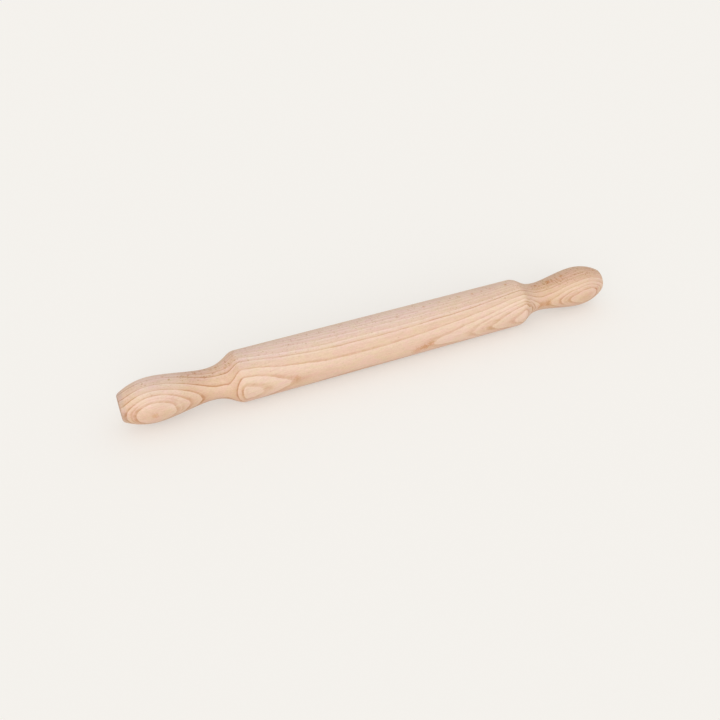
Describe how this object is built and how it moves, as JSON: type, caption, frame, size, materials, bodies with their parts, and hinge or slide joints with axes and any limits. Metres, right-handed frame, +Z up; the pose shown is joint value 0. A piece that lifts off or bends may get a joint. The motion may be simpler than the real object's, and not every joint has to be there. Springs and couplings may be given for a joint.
{
  "type": "rolling pin",
  "caption": "One-piece turned beech rolling pin: a long cylindrical barrel with an integral bulbed handle at each end, for rolling out dough.",
  "frame": {"origin": "on the pin's axis, at the middle of the barrel", "axes": "+X along the pin's axis towards one handle, +Z up, the pin lying down"},
  "size_m": [0.44, 0.042, 0.042],
  "materials": {
    "beech": "fine sanded, bare"
  },
  "bodies": {
    "root": {"turned_beech_pin": "beech"}
  },
  "joints": []
}
